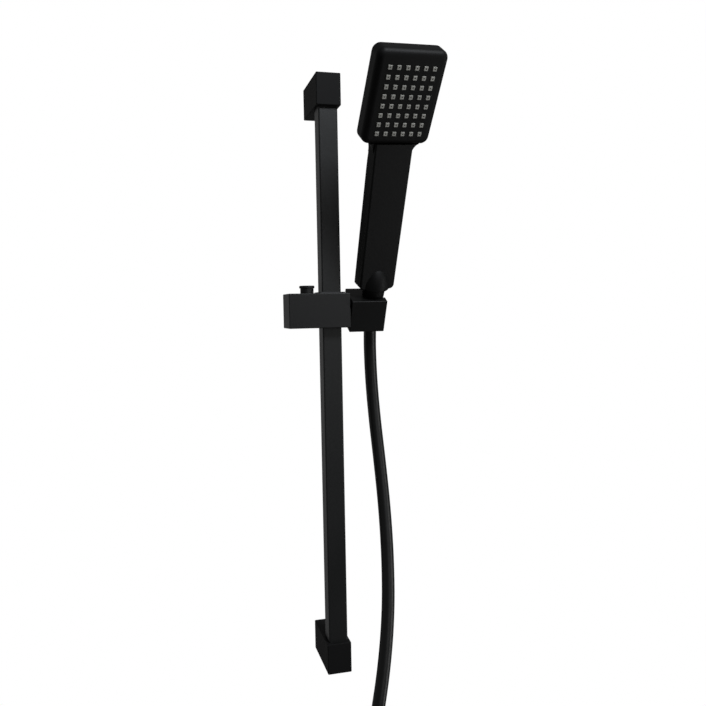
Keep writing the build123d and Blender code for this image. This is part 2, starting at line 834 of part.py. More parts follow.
# Water way: straight along the handle's bore, through a port into the bottom of the chamber
chamber_foot = head_rise - chamber_height / 2
chamber_top_depth = plate_thickness + ledge_depth
chamber_floor_depth = head_thickness - head_wall
port_depth = (head_forward + chamber_foot * sin(lean)) / cos(lean)
tube_end = on_side(chamber_foot, port_depth)[1] - port_shoulder
spigot_top = handle_start + spigot_length
tube_start = spigot_top - tube_seat
boss_top = (handle_front - boss_blend, handle_start + boss_length)

with BuildPart() as handset_shell:
    add(handle.part)
    add(head_back.part)
    with BuildSketch(bore_side) as boss_profile:
        with BuildLine():
            Polyline(boss_top, (0, handle_start + boss_length), (0, handle_start), (boss_radius, handle_start))
            TangentArc((boss_radius, handle_start), boss_top, tangent=(0, 1))
        make_face()
        fillet(boss_profile.vertices().sort_by(Axis.X)[-1], handle_end_edge)
    revolve(axis=bore_axis)
    with BuildSketch(behind(plate_thickness)):
        with Locations((0, head_rise)):
            RectangleRounded(head_width + plate_gap, head_height + plate_gap, head_corner)
    extrude(amount=head_thickness, mode=Mode.SUBTRACT)
    with BuildSketch(behind(plate_thickness)):
        with Locations((0, head_rise)):
            RectangleRounded(inner_width, inner_height, inner_corner)
    extrude(amount=-ledge_depth, mode=Mode.SUBTRACT)
    with BuildSketch(behind(chamber_top_depth)):
        with Locations((0, head_rise)):
            RectangleRounded(chamber_width, chamber_height, chamber_corner)
    extrude(amount=chamber_top_depth - chamber_floor_depth, mode=Mode.SUBTRACT)
    with BuildSketch(bore_plane.offset(handle_start)):
        Circle(thread_radius)
    extrude(amount=spigot_length, mode=Mode.SUBTRACT)
    with BuildSketch(bore_plane.offset(spigot_top)):
        Circle(tube_radius)
    extrude(amount=tube_end - spigot_top, mode=Mode.SUBTRACT)
    with BuildSketch(bore_plane.offset(tube_end)):
        Circle(tube_radius - tube_wall)
    extrude(amount=port_shoulder + tube_wall, mode=Mode.SUBTRACT)
save(handset_shell.part, "handset_shell")

with BuildPart() as inlet_spigot:
    with BuildSketch(bore_plane.offset(spigot_end)):
        Circle(thread_radius)
    extrude(amount=spigot_top - spigot_end)
    with BuildSketch(bore_plane.offset(spigot_end)):
        Circle(spigot_bore)
    extrude(amount=spigot_top - spigot_end, mode=Mode.SUBTRACT)
    with BuildSketch(bore_plane.offset(spigot_end)):
        Circle(restrictor_radius)
    extrude(amount=restrictor_thickness, mode=Mode.SUBTRACT)
    with BuildSketch(bore_plane.offset(tube_start)):
        Circle(tube_radius)
    extrude(amount=tube_seat, mode=Mode.SUBTRACT)
save(inlet_spigot.part, "inlet_spigot")

with BuildPart() as flow_restrictor:
    with BuildSketch(bore_plane.offset(spigot_end)):
        Circle(restrictor_radius)
        Circle(restrictor_hole, mode=Mode.SUBTRACT)
    extrude(amount=restrictor_thickness)
save(flow_restrictor.part, "flow_restrictor")

with BuildPart() as water_tube:
    with BuildSketch(bore_plane.offset(tube_start)):
        Circle(tube_radius)
        Circle(tube_radius - tube_wall, mode=Mode.SUBTRACT)
    extrude(amount=tube_end - tube_start)
save(water_tube.part, "water_tube")

# Spray face: plate with square holes, soft nozzle mat behind it, and the distributor screwed to the plate
nozzle_pitch_x = (head_width - 2 * nozzle_side_margin) / (nozzle_columns - 1)
nozzle_pitch_y = (head_height - nozzle_top_margin - nozzle_foot_margin) / (nozzle_rows - 1)
seal_top_depth = chamber_top_depth - seal_thickness
distributor_depth = seal_top_depth - distributor_thickness
screw_spots = [
    (side * (inner_width / 2 - plate_screw_inset), head_rise + end * (inner_height / 2 - plate_screw_inset))
    for side in (-1, 1)
    for end in (-1, 1)
]

with BuildPart() as spray_plate:
    with BuildSketch(face_plane):
        with Locations((0, head_rise)):
            RectangleRounded(head_width, head_height, head_corner)
    extrude(amount=-plate_thickness)
    front_rim = [
        edge for edge in spray_plate.edges() if abs(face_plane.to_local_coords(edge.center()).Z) < plate_edge / 2
    ]
    fillet(front_rim, plate_edge)
    with BuildPart(mode=Mode.SUBTRACT) as plate_hollow:
        with BuildSketch(behind(plate_face)):
            with Locations((0, head_rise)):
                RectangleRounded(inner_width, inner_height, inner_corner)
        extrude(amount=plate_face - plate_thickness)
        floor_rim = [
            edge
            for edge in plate_hollow.edges()
            if abs(face_plane.to_local_coords(edge.center()).Z + plate_face) < plate_face / 2
        ]
        fillet(floor_rim, plate_edge - head_wall)
    with BuildSketch(behind(plate_face)):
        with Locations(*screw_spots):
            Circle(plate_boss_radius)
    extrude(amount=plate_face - distributor_depth)
    with BuildSketch(behind(plate_face)):
        with Locations(*screw_spots):
            Circle(plate_screw_radius)
    extrude(amount=plate_face - distributor_depth, mode=Mode.SUBTRACT)
    with BuildSketch(face_plane):
        with GridLocations(nozzle_pitch_x, nozzle_pitch_y, nozzle_columns, nozzle_rows):
            Rectangle(nozzle_width + 2 * nozzle_gap, nozzle_width + 2 * nozzle_gap)
    extrude(amount=-plate_face, mode=Mode.SUBTRACT)
save(spray_plate.part, "spray_plate")

mat_width = (nozzle_columns - 1) * nozzle_pitch_x + nozzle_width + 2 * mat_margin
mat_height = (nozzle_rows - 1) * nozzle_pitch_y + nozzle_width + 2 * mat_margin
with BuildPart() as nozzle_mat:
    with BuildSketch(behind(plate_face)):
        Rectangle(mat_width, mat_height)
    extrude(amount=-mat_thickness)
    with BuildSketch(behind(plate_face)):
        with GridLocations(nozzle_pitch_x, nozzle_pitch_y, nozzle_columns, nozzle_rows):
            Rectangle(nozzle_width, nozzle_width)
    extrude(amount=plate_face + nozzle_proud, taper=nozzle_draft)
    with BuildSketch(behind(plate_face + mat_thickness)):
        with GridLocations(nozzle_pitch_x, nozzle_pitch_y, nozzle_columns, nozzle_rows):
            Rectangle(nozzle_orifice, nozzle_orifice)
    extrude(amount=mat_thickness + plate_face + nozzle_proud, mode=Mode.SUBTRACT)
save(nozzle_mat.part, "nozzle_mat")

with BuildPart() as distributor_plate:
    with BuildSketch(behind(distributor_depth)):
        with Locations((0, head_rise)):
            RectangleRounded(inner_width - 2 * distributor_gap, inner_height - 2 * distributor_gap, inner_corner)
        with GridLocations(2 * nozzle_pitch_x, 2 * nozzle_pitch_y, nozzle_columns // 2, nozzle_rows // 2):
            Circle(distributor_hole, mode=Mode.SUBTRACT)
        with Locations(*screw_spots):
            Circle(plate_screw_radius, mode=Mode.SUBTRACT)
    extrude(amount=-distributor_thickness)
save(distributor_plate.part, "distributor_plate")

seal_outer_width = inner_width - 2 * distributor_gap
seal_outer_height = inner_height - 2 * distributor_gap
with BuildPart() as chamber_seal:
    with BuildSketch(behind(seal_top_depth)):
        with Locations((0, head_rise)):
            RectangleRounded(seal_outer_width, seal_outer_height, inner_corner)
            RectangleRounded(
                seal_outer_width - 2 * seal_width,
                seal_outer_height - 2 * seal_width,
                inner_corner - seal_width,
                mode=Mode.SUBTRACT,
            )
    extrude(amount=-seal_thickness)
save(chamber_seal.part, "chamber_seal")

with BuildPart() as plate_screws:
    with BuildSketch(behind(plate_face)):
        with Locations(*screw_spots):
            Circle(plate_screw_radius)
    extrude(amount=plate_face - seal_top_depth)
    with BuildSketch(behind(seal_top_depth)):
        with Locations(*screw_spots):
            Circle(plate_screw_head_radius)
    extrude(amount=-plate_screw_head)
save(plate_screws.part, "plate_screws")

# Hose: free stretch on straight runs and tangent arcs, then the coil
coil_pitch = hose_diameter + coil_gap
coil_axis = Vector(0, 1, 0)
coil_side = Vector(1, 0, 0)
hinge_point = bore_plane.from_local_coords((0, 0, nut_bottom - hose_hinge_drop))
coil_top = Vector(*coil_entry)
coil_way = helix_point(Vector(0, 0, 0), coil_radius, coil_pitch, coil_axis, coil_side, 0)[1]
lead_point = coil_top - coil_way * coil_lead
route = [hinge_point] + [Vector(*point) for point in hose_route] + [lead_point, coil_top]
bend_radii = []
for before, here, after in zip(route, route[1:], route[2:]):
    turn = radians((here - before).get_angle(after - here))
    shorter = min((here - before).length, (after - here).length)
    bend_radii.append(bend_share * shorter / tan(turn / 2))
print("hose bend radii", [round(radius) for radius in bend_radii])

with BuildPart() as hose_hang:
    with BuildLine() as hang_line:
        FilletPolyline(*route, radius=bend_radii)
    hang_path = hang_line.wire()
    with BuildSketch(Plane(origin=hang_path @ 0, z_dir=hang_path % 0)):
        Circle(hose_radius)
    sweep(path=hang_path)
    hang_volume = hose_hang.part.volume
    with Locations(hinge_point):
        Sphere(hose_radius)
hose_section = pi * hose_radius**2
print("hang length", round(hang_path.length), "volume ratio", round(hang_volume / hose_section / hang_path.length, 4))
save(hose_hang.part, "hose_hang")

coil_start = coil_top + coil_way * hose_diameter
coil_centre = coil_start - coil_side * coil_radius
coil_end, end_way = helix_point(coil_centre, coil_radius, coil_pitch, coil_axis, coil_side, coil_turns * 2 * pi)
hose_end = coil_end + end_way * coil_tail
with BuildPart() as hose_coil:
    with BuildLine() as coil_line:
        Line(coil_top, coil_start)
        draw_winding(coil_centre, coil_radius, coil_pitch, coil_axis, coil_side, coil_turns)
        Line(coil_end, hose_end)
    coil_path = coil_line.wire()
    with BuildSketch(Plane(origin=coil_top, z_dir=coil_way)):
        Circle(hose_radius)
    sweep(path=coil_path)
coil_volume = hose_coil.part.volume
print("coil length", round(coil_path.length), "volume ratio", round(coil_volume / hose_section / coil_path.length, 4))
print("hose length", round(hang_path.length + coil_path.length))
save(hose_coil.part, "hose_coil")

coil_points = [coil_path @ (step / coil_steps) for step in range(coil_steps + 1)]
apart = int(coil_steps * pi * coil_radius / coil_path.length)
self_gap = min(
    (first - last).length
    for number, first in enumerate(coil_points)
    for last in coil_points[number + apart :]
)
print("least gap of the coil to itself", round(self_gap - hose_diameter, 2))

with BuildPart() as coil_tie:
    strands = coil_pitch * (coil_turns - 1) + hose_diameter + 2 * tie_gap
    tie_centre = coil_centre - coil_side * coil_radius + coil_axis * (coil_pitch * coil_turns / 2)
    with BuildSketch(Plane(origin=tie_centre - upright * (tie_width / 2), x_dir=coil_axis, z_dir=upright)):
        SlotOverall(strands + 2 * tie_thickness, hose_diameter + 2 * tie_gap + 2 * tie_thickness)
        SlotOverall(strands, hose_diameter + 2 * tie_gap, mode=Mode.SUBTRACT)
    extrude(amount=tie_width)
save(coil_tie.part, "coil_tie")

# Inlet end: crimped ferrule, and the loose hexagon nut with its washer
inlet_plane = Plane(origin=hose_end, x_dir=coil_side, z_dir=end_way)
inlet_side = Plane(origin=hose_end, x_dir=coil_side, z_dir=-inlet_plane.y_dir)
inlet_axis = Axis(hose_end, end_way)
sleeve_radius = hose_radius + inlet_sleeve_wall
inlet_flange_radius = inlet_thread_radius - inlet_gap
inlet_seat = inlet_disc + inlet_tail
inlet_face = inlet_seat + inlet_flange
with BuildPart() as inlet_ferrule:
    with BuildSketch(inlet_side):
        Polygon(
            (hose_radius + seal_gap, -inlet_sleeve_length),
            (sleeve_radius, -inlet_sleeve_length),
            (sleeve_radius, inlet_disc),
            (inlet_tail_radius, inlet_disc),
            (inlet_tail_radius, inlet_seat),
            (inlet_flange_radius, inlet_seat),
            (inlet_flange_radius, inlet_face),
            (hose_bore / 2, inlet_face),
            (hose_bore / 2, 0),
            (hose_radius + seal_gap, 0),
            align=None,
        )
    revolve(axis=inlet_axis)
save(inlet_ferrule.part, "inlet_ferrule")

# The nut is relieved round the flange and washer, and threaded from there to its mouth
washer_start = inlet_face + seal_gap
relief_start = inlet_seat - inlet_gap
thread_start = washer_start + inlet_washer_thickness + seal_gap
with BuildPart() as inlet_nut:
    with BuildSketch(inlet_plane.offset(relief_start - inlet_nut_floor)):
        RegularPolygon(inlet_nut_radius, 6)
        Circle(inlet_tail_radius + inlet_gap, mode=Mode.SUBTRACT)
    extrude(amount=inlet_nut_floor)
    with BuildSketch(inlet_plane.offset(relief_start)):
        RegularPolygon(inlet_nut_radius, 6)
        Circle(inlet_thread_radius + inlet_relief, mode=Mode.SUBTRACT)
    extrude(amount=thread_start - relief_start)
    with BuildSketch(inlet_plane.offset(thread_start)):
        RegularPolygon(inlet_nut_radius, 6)
        Circle(inlet_thread_radius, mode=Mode.SUBTRACT)
    extrude(amount=inlet_thread_length)
save(inlet_nut.part, "inlet_nut")

with BuildPart() as inlet_washer:
    with BuildSketch(inlet_plane.offset(washer_start)):
        Circle(inlet_flange_radius)
        Circle(hose_bore / 2, mode=Mode.SUBTRACT)
    extrude(amount=inlet_washer_thickness)
save(inlet_washer.part, "inlet_washer")
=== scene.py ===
"""Hand shower on a riser rail: finishes, hose, springs, inlet thread, stage and camera.

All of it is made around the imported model, in the model's frame and in metres.
"""

import json
import math
from collections import namedtuple

import bmesh
import bpy
from bpy.props import FloatProperty, FloatVectorProperty, IntProperty, PointerProperty
from mathutils import Matrix, Vector


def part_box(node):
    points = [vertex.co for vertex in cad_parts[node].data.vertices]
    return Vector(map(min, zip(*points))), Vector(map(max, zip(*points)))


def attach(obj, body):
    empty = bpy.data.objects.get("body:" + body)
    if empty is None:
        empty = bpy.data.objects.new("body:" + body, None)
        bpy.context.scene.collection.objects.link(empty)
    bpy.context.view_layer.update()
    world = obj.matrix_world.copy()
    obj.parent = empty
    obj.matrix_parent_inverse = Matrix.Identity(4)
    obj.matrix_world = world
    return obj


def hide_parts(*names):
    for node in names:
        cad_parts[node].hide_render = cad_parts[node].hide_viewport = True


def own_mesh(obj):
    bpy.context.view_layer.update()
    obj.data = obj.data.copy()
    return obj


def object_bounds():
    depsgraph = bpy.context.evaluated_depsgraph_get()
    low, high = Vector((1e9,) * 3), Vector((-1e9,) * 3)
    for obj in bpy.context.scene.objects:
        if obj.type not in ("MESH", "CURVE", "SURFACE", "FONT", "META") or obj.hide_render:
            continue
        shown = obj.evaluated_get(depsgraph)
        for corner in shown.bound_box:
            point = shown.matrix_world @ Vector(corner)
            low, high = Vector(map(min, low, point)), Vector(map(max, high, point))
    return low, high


bl_info = {
    "name": "Hand shower on a riser rail",
    "version": (1, 0, 0),
    "blender": (4, 5, 0),
    "location": "View3D > Sidebar > Shower",
    "description": "Dresses the packed hand shower set with its finishes, hose, springs and stage",
    "category": "Object",
}

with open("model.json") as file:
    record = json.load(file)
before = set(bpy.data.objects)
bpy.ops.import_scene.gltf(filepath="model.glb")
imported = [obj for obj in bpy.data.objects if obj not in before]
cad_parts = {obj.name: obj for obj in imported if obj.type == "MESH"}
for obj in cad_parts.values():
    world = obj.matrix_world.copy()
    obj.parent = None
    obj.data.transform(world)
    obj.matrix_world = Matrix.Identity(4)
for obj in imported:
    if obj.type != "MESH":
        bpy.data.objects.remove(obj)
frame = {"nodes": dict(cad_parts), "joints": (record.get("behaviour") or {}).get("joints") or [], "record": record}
CAD_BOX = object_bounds()
MM_PER_METRE = 1000

RAIL_NODES = ("rail_tube",)
BRACKET_NODES = ("upper_bracket", "lower_bracket")
ZINC_NODES = ("upper_wall_block", "lower_wall_block")
STEEL_NODES = ("rail_screws", "bracket_grub_screws", "pivot_pin", "pivot_screw", "plate_screws")
SLIDER_NODES = ("slider_body", "slider_end_cap", "release_button")
HOLDER_NODES = ("holder_block",)
HANDSET_NODES = ("handset_shell", "conical_nut")
PLATE_NODES = ("spray_plate",)
NOZZLE_NODES = ("nozzle_mat",)
NYLON_NODES = (
    "guide_bush",
    "brake_shoe",
    "upper_rail_plug",
    "lower_rail_plug",
    "distributor_plate",
    "water_tube",
    "flow_restrictor",
    "swivel_washer",
    "friction_washer",
    "coil_tie",
)
RUBBER_NODES = ("brake_pad", "hose_washer", "chamber_seal", "inlet_washer")
BRASS_NODES = ("inlet_spigot", "hose_ferrule")
FITTING_NODES = ("inlet_ferrule", "inlet_nut")

# Grain of the finishes: how fine its noise is, and how deep its bump, in metres
Grain = namedtuple("Grain", "scale depth")
COAT_GRAIN = Grain(1000.0, 0.0001)
MATT_GRAIN = Grain(1000.0, 0.00014)
CAST_GRAIN = Grain(500.0, 0.00008)
TURNED_GRAIN = Grain(900.0, 0.00002)
WIRE_GRAIN = Grain(1500.0, 0.00001)
NYLON_GRAIN = Grain(900.0, 0.00003)
SILICONE_GRAIN = Grain(700.0, 0.00002)
RUBBER_GRAIN = Grain(800.0, 0.00003)
PLATED_GRAIN = Grain(1200.0, 0.00002)
HOSE_GRAIN = Grain(260.0, 0.00001)
GRAIN_DETAIL = 3.0
GRAIN_STRENGTH = 0.5
CLOUD_SCALE = 22.0
CLOUD_DETAIL = 2.0
NOISE_MIDDLE = 0.5

# The hose's chosen points, from the nut's mouth down to where the coil starts
HOSE_POINTS = (
    (0.0476, -0.0456, 0.0530),
    (0.0492, -0.0382, 0.0320),
    (0.0512, -0.0355, -0.0080),
    (0.0532, -0.0405, -0.0520),
    (0.0549, -0.0515, -0.0970),
    (0.0553, -0.0660, -0.1460),
    (0.0529, -0.0830, -0.1980),
    (0.0471, -0.1010, -0.2500),
    (0.0356, -0.1200, -0.3010),
    (0.0215, -0.1360, -0.3460),
)
COIL_ENTRY = Vector((0.011, -0.146, -0.424))
HOSE_SMOOTHNESS = 8

# Facets of the springs and of the thread's ridge
STEPS_PER_TURN = 28
WIRE_SIDES = 12
RIDGE_SIDES = 3
MERGE_DISTANCE = 1e-6

# Where the photograph was taken from: place, then the camera's right, up and back directions
CAMERA_PLACE = (-0.1820, -0.8445, 0.0764)
CAMERA_RIGHT = (0.96684, -0.25472, -0.0184)
CAMERA_UP = (0.03293, 0.05293, 0.99805)
CAMERA_BACK = (-0.25325, -0.96557, 0.05957)
SENSOR_WIDTH = 36

# The lamps: where each stands, where it looks, and its width and height
LAMP_AIM = Vector((0.02, -0.08, 0.08))
KEY_PLACE = Vector((0.364, -0.817, 0.893))
KEY_SIZE = (0.28, 0.28)
KEY_COLOUR = (0.96, 1.0, 1.05)
STRIP_PLACE = Vector((0.8, -0.47, -0.28))
STRIP_AIM = Vector((0.05, -0.08, -0.25))
STRIP_SIZE = (0.16, 1.0)
FRONT_PLACE = Vector((0.41, -1.53, 0.16))
FRONT_SIZE = (0.6, 0.6)

# The floor: its middle in front of the wall, and the shares of its radius where it fades
FLOOR_PAINT = (0.86, 0.85, 0.835, 1.0)
FLOOR_MIDDLE_Y = -0.17
FLOOR_SEGMENTS = 96
FADE_START = 0.4
FADE_END = 0.95

WHITE = (1.0, 1.0, 1.0)
BACKDROP_WHITE = (*WHITE, 1.0)


def colour_setting(name, description, value):
    """A colour that a user may change."""
    return FloatVectorProperty(
        name=name, description=description, subtype="COLOR", size=3, default=value, min=0, max=1
    )


def share_setting(name, description, value):
    """A share from nothing to full."""
    return FloatProperty(
        name=name, description=description, subtype="FACTOR", default=value, min=0, max=1
    )


def length_setting(name, description, value):
    """A length in metres."""
    return FloatProperty(
        name=name, description=description, unit="LENGTH", default=value, min=0, precision=5
    )


def power_setting(name, description, value):
    """A lamp's power in watts."""
    return FloatProperty(name=name, description=description, unit="POWER", default=value, min=0)


def count_setting(name, description, value, least=1):
    """A whole number of things."""
    return IntProperty(name=name, description=description, default=value, min=least)


class FinishSettings(bpy.types.PropertyGroup):
    """Colours and sheens of the shower's materials."""

    rail: colour_setting("Rail", "Satin powder coat of the rail", (0.0162, 0.0166, 0.0166))
    rail_roughness: share_setting("Rail roughness", "How dull the rail's coat is", 0.38)
    bracket: colour_setting("Brackets", "Matt powder coat", (0.0118, 0.0118, 0.012))
    bracket_roughness: share_setting("Bracket roughness", "How dull the brackets' coat is", 0.6)
    slider: colour_setting("Slider", "Satin black, also of its button", (0.0015, 0.0015, 0.0016))
    slider_roughness: share_setting("Slider roughness", "How dull the slider is", 0.5)
    moulded: colour_setting(
        "Mouldings", "Matt black of the hand shower and holder", (0.0015, 0.0016, 0.0016)
    )
    moulded_roughness: share_setting("Moulding roughness", "How dull the mouldings are", 0.52)
    plate: colour_setting("Spray plate", "Matt black round the nozzles", (0.003, 0.003, 0.003))
    plate_roughness: share_setting("Plate roughness", "How dull the spray plate is", 0.55)
    nylon: colour_setting("Nylon", "Bush, plugs and inner pieces", (0.035, 0.035, 0.037))
    nozzle: colour_setting("Nozzles", "Soft nozzles of the spray face", (0.34, 0.336, 0.305))
    hose: colour_setting("Hose", "Smooth outside of the hose", (0.0015, 0.0016, 0.0016))
    hose_roughness: share_setting("Hose roughness", "How dull the hose is", 0.4)
    zinc: colour_setting("Zinc", "Cast wall blocks", (0.45, 0.46, 0.47))
    steel: colour_setting("Steel", "Screws, pin and springs", (0.56, 0.57, 0.58))
    brass: colour_setting("Brass", "Spigot and hose end", (0.66, 0.5, 0.24))
    rubber: colour_setting("Rubber", "Seals and brake pad", (0.02, 0.02, 0.02))


class HoseSettings(bpy.types.PropertyGroup):
    """Sizes of the hose and its coil."""

    diameter: length_setting("Diameter", "Outside of the hose", 0.014)
    length: length_setting("Length", "Hose from end to end", 1.5)
    inside: length_setting("Inside", "How far the hose goes up into the nut", 0.003)
    coil_lead: length_setting("Lead", "Straight run above the coil", 0.036)
    coil_radius: length_setting("Coil radius", "Middle of the hose in the coil", 0.074)
    coil_gap: length_setting("Coil gap", "Room between two turns", 0.0012)
    coil_tail: length_setting("Tail", "Straight run behind the coil", 0.046)
    coil_turns: count_setting("Turns", "Turns of the coil", 2)
    points_per_turn: count_setting("Points", "Control points in each turn", 16, least=12)


class WindingSettings(bpy.types.PropertyGroup):
    """Sizes of the springs and the inlet thread."""

    wire: length_setting("Wire", "Thickness of the spring wire", 0.0009)
    spring_turns: count_setting("Turns", "Turns of each spring", 3)
    thread_pitch: length_setting("Thread pitch", "One turn of the inlet thread", 0.001814)
    thread_width: length_setting(
        "Thread width", "Across the ridge, of which a part is in the nut's wall", 0.0018
    )
    thread_height: length_setting(
        "Thread height", "How far the ridge stands into the bore", 0.00065
    )


class StageSettings(bpy.types.PropertyGroup):
    """Floor, light and camera."""

    floor_drop: length_setting(
        "Floor drop", "Floor below the coil when the slider is at its lowest", 0.03
    )
    floor_radius: length_setting(
        "Floor radius", "Where the floor has faded into the background", 0.3
    )
    floor_white: share_setting(
        "Floor white", "How far the floor's middle is lightened to white", 0.7
    )
    room_top: share_setting("Room above", "Even light from above", 0.13)
    room_foot: share_setting("Room below", "Even light from below", 0.045)
    gloss_behind: share_setting(
        "Gloss behind", "How much of the white background the gloss shows from behind", 0.19
    )
    gloss_left: share_setting(
        "Gloss on the left", "How much of it the gloss shows from the left", 0.12
    )
    key_power: power_setting("Key", "Main lamp, above on the right", 9)
    strip_power: power_setting("Strip", "Tall lamp on the right", 2.3)
    front_power: power_setting("Front", "Weak lamp in front", 1.2)
    lens: FloatProperty(
        name="Lens", description="Focal length of the camera", unit="CAMERA", default=37.75, min=1
    )


class ShowerSettings(bpy.types.PropertyGroup):
    """Everything that a user would change."""

    finish: PointerProperty(type=FinishSettings)
    hose: PointerProperty(type=HoseSettings)
    winding: PointerProperty(type=WindingSettings)
    stage: PointerProperty(type=StageSettings)


class Socket:
    """An output in a shader tree: Python's operators on it add Math nodes."""

    def __init__(self, tree, output):
        self.tree = tree
        self.output = output

    def math(self, operation, first, second):
        settings = {"operation": operation}
        return self.tree.node("ShaderNodeMath", settings, {0: first, 1: second})

    def __add__(self, other):
        return self.math("ADD", self, other)

    __radd__ = __add__

    def __sub__(self, other):
        return self.math("SUBTRACT", self, other)

    def __rsub__(self, other):
        return self.math("SUBTRACT", other, self)

    def __mul__(self, other):
        return self.math("MULTIPLY", self, other)

    __rmul__ = __mul__

    def positive(self):
        """Nothing below zero."""
        return self.math("MAXIMUM", self, 0.0)


class ShaderTree:
    """The node tree of a material or world, emptied."""

    def __init__(self, owner):
        owner.use_nodes = True
        self.tree = owner.node_tree
        self.tree.nodes.clear()

    def node(self, kind, settings=None, inputs=None, output=0):
        """Add a node: first its settings, then the values or links of its sockets.

        Gives one of the node's outputs.
        """
        made = self.tree.nodes.new(kind)
        for name, value in (settings or {}).items():
            setattr(made, name, value)
        for key, value in (inputs or {}).items():
            if isinstance(value, Socket):
                self.tree.links.new(value.output, made.inputs[key])
            else:
                made.inputs[key].default_value = value
        return Socket(self, made.outputs[output]) if made.outputs else None

    def noise(self, coordinates, scale, detail):
        """Cloudy noise from 0 to 1."""
        inputs = {"Vector": coordinates, "Scale": scale, "Detail": detail}
        return self.node("ShaderNodeTexNoise", inputs=inputs)

    def mix(self, share, first, second):
        """From one colour to another."""
        inputs = {0: share, 6: first, 7: second}
        return self.node("ShaderNodeMix", {"data_type": "RGBA"}, inputs, output=2)

    def blend(self, share, first, second):
        """From one shader to another."""
        return self.node("ShaderNodeMixShader", inputs={0: share, 1: first, 2: second})

    def part(self, vector, axis):
        """One of a vector's three numbers."""
        return self.node("ShaderNodeSeparateXYZ", inputs={0: vector}, output=axis)

    def ray_is(self, kind):
        """1 for light of one kind, else 0."""
        return self.node("ShaderNodeLightPath", output=f"Is {kind} Ray")

    def object_coordinates(self):
        return self.node("ShaderNodeTexCoord", output="Object")

    def surface(self, shader):
        self.node("ShaderNodeOutputMaterial", inputs={"Surface": shader})


def rgba(colour, factor=1.0):
    """A colour setting as a socket value, made lighter or darker."""
    return (*(min(1.0, part * factor) for part in colour), 1.0)


def grained_finish(
    name, colour, roughness, grain, cloud=0.08, specular=0.5, metallic=0.0, contrast=0.12
):
    """A finish with a fine grain: its bump, a slight change of tone with it, a cloudy sheen."""
    material = bpy.data.materials.new(name)
    tree = ShaderTree(material)
    place = tree.object_coordinates()
    speckle = tree.noise(place, grain.scale, GRAIN_DETAIL)
    patches = tree.noise(place, CLOUD_SCALE, CLOUD_DETAIL)
    dull = roughness + (patches - NOISE_MIDDLE) * cloud + (speckle - NOISE_MIDDLE) * cloud
    tone = tree.mix(speckle, rgba(colour, 1 - contrast), rgba(colour, 1 + contrast))
    relief = {"Strength": GRAIN_STRENGTH, "Distance": grain.depth, "Height": speckle}
    look = {
        "Base Color": tone,
        "Roughness": dull,
        "Metallic": metallic,
        "Specular IOR Level": specular,
        "Normal": tree.node("ShaderNodeBump", inputs=relief),
    }
    tree.surface(tree.node("ShaderNodeBsdfPrincipled", inputs=look))
    return material


def wear_finish(nodes, material):
    """Give CAD pieces their finish."""
    for name in nodes:
        slots = frame["nodes"][name].data.materials
        slots.clear()
        slots.append(material)


def mesh_piece(name, sculpt, body, material):
    """A new piece from a bmesh, smooth, on its body."""
    mesh = bpy.data.meshes.new(name)
    bmesh.ops.remove_doubles(sculpt, verts=sculpt.verts, dist=MERGE_DISTANCE)
    bmesh.ops.recalc_face_normals(sculpt, faces=sculpt.faces)
    for face in sculpt.faces:
        face.smooth = True
    sculpt.to_mesh(mesh)
    sculpt.free()
    mesh.materials.append(material)
    piece = bpy.data.objects.new(name, mesh)
    bpy.context.scene.collection.objects.link(piece)
    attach(piece, body)
    return piece


def wind(sides, thickness, foot, axis, radius, pitch, turns):
    """A bmesh of a wire or ridge that winds round an axis from its foot, closed at both ends."""
    side = axis.orthogonal().normalized()
    lay = Matrix((side, axis, side.cross(axis))).transposed().to_4x4()
    start = Matrix.Translation(foot + side * radius) @ lay
    sculpt = bmesh.new()
    bmesh.ops.create_circle(sculpt, segments=sides, radius=thickness / 2, matrix=start)
    steps = round(turns * STEPS_PER_TURN)
    bmesh.ops.spin(
        sculpt,
        geom=sculpt.verts[:] + sculpt.edges[:],
        cent=foot,
        axis=axis,
        dvec=axis * (pitch * turns / steps),
        angle=math.tau * turns,
        steps=steps,
    )
    bmesh.ops.holes_fill(sculpt, edges=[edge for edge in sculpt.edges if edge.is_boundary])
    return sculpt


def joint_named(name):
    return next(joint for joint in frame["joints"] if joint["name"] == name)


class SHOWER_OT_rail(bpy.types.Operator):
    """Powder coat on the rail and brackets, cast blocks and steel screws inside them"""

    bl_idname = "shower.rail"
    bl_label = "Rail and brackets"

    def execute(self, context):
        finish = context.scene.shower.finish
        coat = grained_finish(
            "rail_powder_coat", finish.rail, finish.rail_roughness, COAT_GRAIN, specular=0.27
        )
        wear_finish(RAIL_NODES, coat)
        matt = grained_finish(
            "bracket_powder_coat",
            finish.bracket,
            finish.bracket_roughness,
            MATT_GRAIN,
            specular=0.06,
        )
        wear_finish(BRACKET_NODES, matt)
        zinc = grained_finish(
            "cast_zinc", finish.zinc, roughness=0.45, grain=CAST_GRAIN, metallic=1.0
        )
        wear_finish(ZINC_NODES, zinc)
        steel = grained_finish(
            "turned_steel", finish.steel, roughness=0.3, grain=TURNED_GRAIN, metallic=1.0
        )
        wear_finish(STEEL_NODES, steel)
        return {"FINISHED"}


